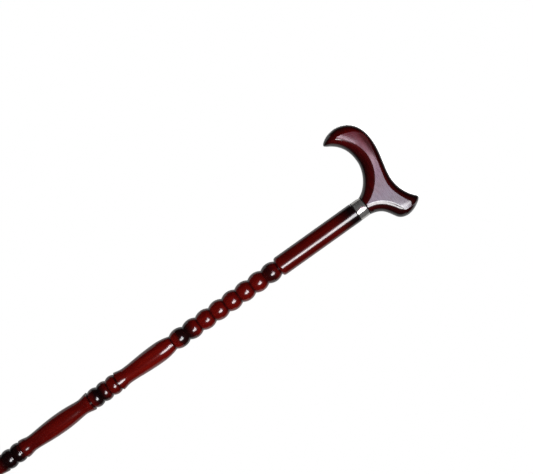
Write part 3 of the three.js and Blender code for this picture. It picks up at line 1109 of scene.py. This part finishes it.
@dataclass
class Tip:
    """Rubber ferrule with the washer on the floor of its socket."""

    height: float = 42.0
    sole_radius: float = 18.0
    sole_chamfer: float = 1.2
    foot_height: float = 7.0
    foot_taper: float = 0.6
    waist_height: float = 19.0
    socket_radius: float = 8.1
    wall: float = 3.6
    rim: float = 0.9
    rim_height: float = 3.5
    sole_thickness: float = 9.0
    tread_centre: float = 4.0
    tread_groove: float = 1.8
    tread_rib: float = 2.2
    tread_depth: float = 1.6
    tread_grooves: int = 3
    edge: float = 0.45
    corner_angle: float = 20.0
    tool_mark: float = 0.6
    tool_mark_depth: float = 0.05

    def outline(self) -> Outline:
        """Draws the sole with its tread, the flared foot, the sleeve with its rim and the socket.

        Returns:
            The ferrule's outline.
        """
        line = Outline(0.0, 0.0)
        radius = self.tread_centre
        for _ in range(self.tread_grooves):
            line.line(radius, 0.0).line(radius, self.tread_depth)
            line.line(radius + self.tread_groove, self.tread_depth).line(radius + self.tread_groove, 0.0)
            radius += self.tread_groove + self.tread_rib
        ankle, sleeve = self.sole_radius - self.foot_taper, self.socket_radius + self.wall
        flare, rim_foot = self.waist_height - self.foot_height, self.height - self.rim_height
        line.line(self.sole_radius - self.sole_chamfer, 0.0).line(self.sole_radius, self.sole_chamfer)
        line.line(ankle, self.foot_height)
        line.curve((ankle, self.foot_height + 0.15 * flare), (sleeve, self.waist_height - 0.5 * flare),
                   (sleeve, self.waist_height), 20)
        line.line(sleeve, rim_foot).line(sleeve + self.rim, rim_foot + self.rim)
        line.line(sleeve + self.rim, self.height - self.rim).line(sleeve, self.height)
        line.line(self.socket_radius, self.height).line(self.socket_radius, self.sole_thickness)
        return line.line(0.0, self.sole_thickness)

    def build(self, finish: Finish) -> None:
        """Builds the ferrule and dresses the washer.

        Args:
            finish: the ferrule's rubber.
        """
        bm = self.outline().spun(128)
        ease(bm, [e for e in bm.edges if self.is_corner(e)], self.edge, 3)
        to_piece(bm, "rubber_ferrule", finish, "ferrule", "tip", crease=50.0)
        steel = ZincSteel("zinc_plated_turned_steel", self.tool_mark, self.tool_mark_depth)
        dress("ferrule_washer", steel)

    def is_corner(self, edge: BMEdge) -> bool:
        """Whether an edge runs round an outer corner of the foot or the rim."""
        bend = edge.calc_face_angle(0.0) if len(edge.link_faces) == 2 else 0.0
        return circles(edge, self.socket_radius) and bend > math.radians(self.corner_angle)


# Studio


class Mouth(Enum):
    """Shape of a lamp's front."""

    ROUND = "ELLIPSE"
    SQUARE = "RECTANGLE"

    def area(self, width: float, height: float) -> float:
        """Area of a front of this shape, from its width and height."""
        return width * height * (math.pi / 4.0 if self is Mouth.ROUND else 1.0)

    def rim(self, tree: NodeTree, spot: NodeSocket) -> NodeSocket:
        """How near a spot on the front is to its rim.

        Args:
            tree: the node tree.
            spot: the spot, -1 to 1 across and up.

        Returns:
            0 in the middle and 1 on the rim.
        """
        if self is Mouth.ROUND:
            return add(tree, "VectorMath", {"operation": "LENGTH"}, {0: spot}).outputs["Value"]
        parts = axes(tree, add(tree, "VectorMath", {"operation": "ABSOLUTE"}, {0: spot}).outputs[0])
        return reckon(tree, "MAXIMUM", parts["X"], parts["Y"])


@dataclass(frozen=True)
class Softbox:
    """A soft lamp round the middle of the photographed stretch. Its sizes are metres.

    Its radiance is in units of the white background, so a radiance of 1 looks as bright as that.
    """

    name: str
    azimuth: float
    elevation: float
    distance: float
    width: float
    height: float
    radiance: float
    colour: str = "FFFFFF"
    mouth: Mouth = Mouth.ROUND
    roll: float = 0.0
    soft: float = 0.0
    gels: tuple[tuple[float, str], ...] = ()

    def front(self, lamp: Light) -> None:
        """Fades the front towards its rim and lays coloured gels side by side over it.

        Args:
            lamp: the lamp.
        """
        tree = emptied(lamp)
        uv = add(tree, "NewGeometry").outputs["Parametric"]
        spot = add(tree, "VectorMath", {"operation": "MULTIPLY_ADD"}, {
            0: uv, 1: (2.0, 2.0, 0.0), 2: (-1.0, -1.0, 0.0)}).outputs[0]
        lit = mapped(tree, self.mouth.rim(tree, spot), 1.0 - self.soft, 1.0, 1.0, 0.0, smooth=True)
        stops = [((x / self.width) + 0.5, colour) for x, colour in self.gels or ((0.0, "FFFFFF"),)]
        gel = ramp_over(tree, axes(tree, uv)["X"], *stops)
        glow = add(tree, "Emission", inputs={"Color": gel, "Strength": lit})
        add(tree, "OutputLight", inputs={"Surface": glow.outputs[0]})

    def build(self, target: Vector) -> None:
        """Makes the lamp and turns it to its target.

        Args:
            target: what it lights.
        """
        around, up = math.radians(self.azimuth), math.radians(self.elevation)
        away = Vector((math.sin(around) * math.cos(up), -math.cos(around) * math.cos(up), math.sin(up)))
        lamp = bpy.data.lights.new(self.name, "AREA")
        lamp.shape = self.mouth.value
        lamp.size, lamp.size_y = self.width, self.height
        lamp.color = linear(self.colour)[:3]
        lamp.energy = self.radiance * math.pi * self.mouth.area(self.width, self.height)
        made = put(self.name, lamp)
        roll = Matrix.Rotation(math.radians(self.roll), 4, "Z")
        turn = away.to_track_quat("Z", "Y").to_matrix().to_4x4() @ roll
        made.matrix_world = Matrix.Translation(target + away * self.distance) @ turn
        made.visible_camera = False
        if self.soft or self.gels:
            self.front(lamp)
        log.info("%s: %.1f W", self.name, lamp.energy)


@dataclass
class Studio:
    """Camera at the photograph's angle, soft lamps, a pale floor and a white background, in metres."""

    distance: float = 1.0
    frame_width: float = 0.573
    sensor_width: float = 36.0
    aim: Triple = (-0.03405, 0.0, 0.75647)
    right: Triple = (0.58059, 0.0, 0.8142)
    up: Triple = (-0.8142, 0.0, 0.58059)
    floor_size: float = 12.0
    floor_gap: float = 0.0005
    card_behind: Pair = (0.15, 0.7)
    card_aside: Pair = (0.3, 0.8)
    card_levels: Pair = (0.26, 0.75)
    dark: Colour = (0.01, 0.01, 0.01, 1.0)

    def camera(self) -> None:
        """Makes the camera, which looks square at the flat side of the handle."""
        lens = bpy.data.cameras.new("camera")
        lens.sensor_width = self.sensor_width
        lens.lens = self.sensor_width * self.distance / self.frame_width
        made = put("camera", lens)
        back = Vector((0.0, -1.0, 0.0))
        turn = Matrix((self.right, self.up, back)).transposed().to_4x4()
        made.matrix_world = Matrix.Translation(Vector(self.aim) + back * self.distance) @ turn
        bpy.context.scene.camera = made

    def lamps(self) -> None:
        """Makes the lamps."""
        square = Mouth.SQUARE
        gels = (
            (-0.115, "6A3A49"), (-0.098, "7B5564"), (-0.082, "8C6575"), (-0.066, "BA93A6"),
            (-0.056, "BF97AF"), (-0.047, "D9B9C7"), (-0.039, "F4D2E5"), (-0.025, "E1C4DA"),
            (-0.009, "D1B5D2"), (0.013, "CDBFD1"), (0.035, "CEC6DD"), (0.06, "CCC6D7"))
        for lamp in (
            Softbox("key_core", 23.5, 3.0, 1.0, 0.36, 0.6, 12.0),
            Softbox("key_sweep", 0.0, 13.84, 1.0, 0.38, 0.0943, 8.0, "FFFFFF", square, 2.6, 0.12, gels),
            Softbox("key_edge", 7.2, 12.6, 1.0, 0.15, 0.15, 15.5, "FAFCFF", soft=0.3),
            Softbox("key_bridge", 11.1, 8.25, 1.0, 0.12, 0.12, 11.0, soft=0.3),
            Softbox("key_nose", -7.1, 14.08, 1.0, 0.104, 0.009, 9.0, "FFECFB", square, 33.0, 0.5),
            Softbox("key_heel", 4.76, 16.0, 1.0, 0.007, 0.042, 11.0, "FFFFFF", square, -6.0, 0.5),
            Softbox("key_glow", 22.0, 5.0, 1.05, 0.7, 0.75, 1.9, "F2F0FF"),
            Softbox("back_lamp", 188.0, 28.0, 1.4, 0.9, 0.9, 4.0),
        ):
            lamp.build(Vector((0.0, 0.0, self.aim[2])))

    def world(self) -> None:
        """Makes the background: white to the camera, and beside the cane in what is mirrored."""
        world = bpy.data.worlds.new("studio")
        tree = emptied(world)
        way = add(tree, "TexCoord").outputs["Generated"]
        behind = mapped(tree, axes(tree, way)["Y"], *self.card_behind, smooth=True)
        side = add(tree, "VectorMath", {"operation": "MULTIPLY"}, {0: way, 1: (1.0, 0.0, 1.0)}).outputs[0]
        aside = add(tree, "VectorMath", {"operation": "LENGTH"}, {0: side}).outputs["Value"]
        wide = mapped(tree, aside, *self.card_aside, *self.card_levels, smooth=True)
        camera, mirrored = seen_by(tree)
        card = reckon(tree, "MULTIPLY", behind, wide)
        shown = reckon(tree, "MULTIPLY_ADD", mirrored, card, camera, clamp=True)
        colour = blend(tree, shown, self.dark, WHITE)
        back = add(tree, "Background", inputs={"Color": colour, "Strength": 1.0})
        add(tree, "OutputWorld", inputs={"Surface": back.outputs[0]})
        bpy.context.scene.world = world

    def floor(self) -> None:
        """Makes the pale floor, which keeps the cane's shadow near its foot and is white beyond."""
        bm = bmesh.new()
        bmesh.ops.create_grid(bm, x_segments=8, y_segments=8, size=self.floor_size / 2.0)
        bmesh.ops.translate(bm, verts=bm.verts, vec=(0.0, 0.0, -self.floor_gap))
        mesh = bpy.data.meshes.new("floor")
        bm.to_mesh(mesh)
        bm.free()
        mesh.materials.append(PaintedBoard().material())
        made = put("floor", mesh)
        # The ferrule stands on the floor also when it is pulled off, so the floor goes down with it.
        made.parent = frame["bodies"]["tip"]

    def build(self) -> None:
        """Sets up the studio."""
        self.camera()
        self.lamps()
        self.world()
        self.floor()
        bpy.context.scene.view_settings.view_transform = "Standard"


def main() -> None:
    """Builds the studio and every piece."""
    logging.basicConfig(level=logging.INFO, format="%(message)s")
    Studio().build()
    handle_wood = LacqueredHardwood(
        "red_stained_hardwood_gloss_lacquer_handle", "3E0203", "4E0304", "600506", Grain.ALONG_THE_HANDLE,
        peel_strength=0.03, edge_shade=0.92, coat_roughness=0.04,
        tones=((-87.0, 1.0), (-58.0, 0.9), (-39.0, 0.6), (0.0, 0.6), (13.0, 0.4), (35.0, 0.2)),
    )
    shaft_wood = LacqueredHardwood(
        "red_stained_hardwood_gloss_lacquer_shaft", "560402", "660703", "781006", Grain.UP_THE_SHAFT,
        tones=((0.0, 0.8), (420.0, 0.72), (450.0, 0.85), (535.0, 0.82), (550.0, 1.0), (600.0, 1.05),
               (640.0, 0.92), (730.0, 0.88), (760.0, 0.62), (862.5, 0.6)),
        # Top, bottom, fade above, fade below and depth of each
        shadings=tuple(Shading(*band) for band in (
            (862.0, 842.0, 0.5, 20.0, 0.97), (738.0, 732.0, 8.0, 6.0, 0.8), (631.0, 619.0, 9.0, 5.0, 0.93),
            (518.0, 508.0, 7.0, 4.0, 0.95), (409.0, 388.0, 5.0, 8.0, 0.94))),
    )
    Handle().build(handle_wood)
    Shaft().build(shaft_wood)
    Collar().build(PlatedBrass())
    Stud().build()
    Tip().build(MouldedRubber())


if __name__ == "__main__":
    main()
